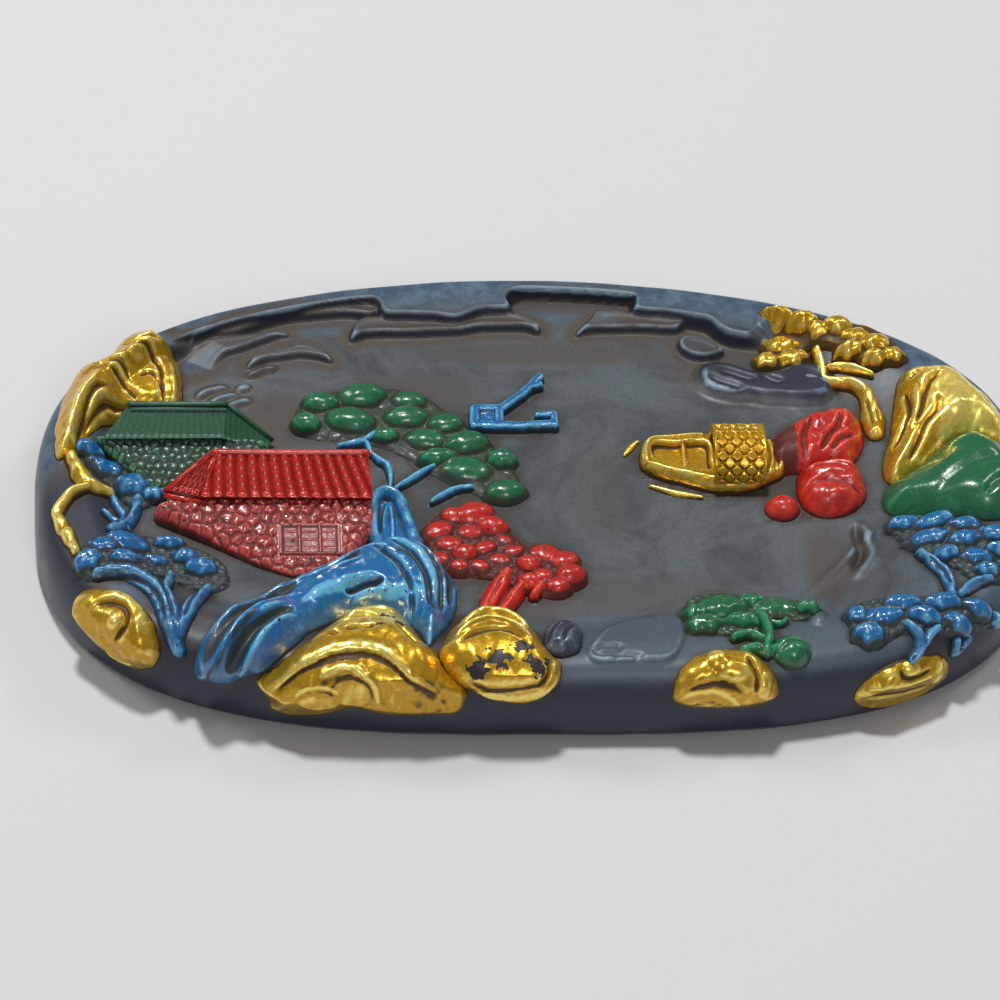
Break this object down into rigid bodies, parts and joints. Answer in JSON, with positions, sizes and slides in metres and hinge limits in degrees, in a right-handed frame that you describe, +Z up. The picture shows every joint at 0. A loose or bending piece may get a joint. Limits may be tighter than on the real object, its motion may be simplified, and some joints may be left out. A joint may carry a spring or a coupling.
{
  "type": "ink stone",
  "caption": "Oval ink stone with a shallow grinding bed and a raised rim carved as a painted landscape of houses, trees, rocks and a boat.",
  "frame": {"origin": "middle of the flat underside", "axes": "+X to the right along the stone's length, +Y to the back, the side with the clouds, and +Z up out of the grinding bed"},
  "size_m": [0.164, 0.0912, 0.0206],
  "materials": {
    "bare_stone": "carved and satin polished, with a brown wash in the hollows",
    "dark_stone": "satin polished",
    "gold_paint": "metallic gold paint over carved stone",
    "red_paint": "glossy red paint over carved stone",
    "washed_red_paint": "thin red paint with a brown wash over carved stone",
    "green_paint": "glossy green paint over carved stone",
    "washed_green_paint": "thin green paint with a brown wash over carved stone",
    "blue_paint": "glossy blue paint over carved stone"
  },
  "bodies": {
    "root": {"stone_slab": "bare_stone", "front_shelf": "bare_stone", "cloud_step_left": "bare_stone", "cloud_step_right": "bare_stone", "cloud_curl": "bare_stone", "cloud_blob": "bare_stone", "cloud_block": "dark_stone", "water_ripple_upper": "bare_stone", "water_ripple_lower": "bare_stone", "dark_boulder": "dark_stone", "dark_stone_small": "dark_stone", "gold_rock_back_left": "gold_paint", "gold_rock_front_left": "gold_paint", "gold_rock_front_centre": "gold_paint", "gold_rock_front_small": "gold_paint", "gold_rock_front_mid": "gold_paint", "gold_rock_front_right": "gold_paint", "gold_rock_right": "gold_paint", "gold_branch_left": "gold_paint", "gold_pine_foliage": "gold_paint", "gold_pine_trunk": "gold_paint", "green_hall_roof": "green_paint", "green_hall_hip": "green_paint", "green_hall_wall": "washed_green_paint", "green_pine_foliage": "green_paint", "green_rock_right": "green_paint", "green_tree_foliage": "green_paint", "green_tree_trunk": "washed_green_paint", "green_boulder": "green_paint", "red_house_roof": "red_paint", "red_house_gable": "red_paint", "red_house_wall": "washed_red_paint", "red_house_window": "red_paint", "red_tree_foliage": "red_paint", "red_tree_trunk": "red_paint", "red_rock_back": "red_paint", "red_rock_front": "red_paint", "red_rock_small": "red_paint", "blue_cliff": "blue_paint", "blue_cliff_loop": "blue_paint", "blue_pine_branches": "blue_paint", "blue_pier_frame": "blue_paint", "blue_tree_left_foliage": "blue_paint", "blue_tree_left_trunk": "blue_paint", "blue_tree_low_foliage": "blue_paint", "blue_tree_low_trunk": "blue_paint", "blue_pine_upper_foliage": "blue_paint", "blue_pine_upper_trunk": "blue_paint", "blue_pine_lower_foliage": "blue_paint", "blue_pine_lower_trunk": "blue_paint", "boat_hull": "gold_paint", "boat_canopy": "gold_paint", "boat_ripple": "gold_paint"}
  },
  "joints": []
}
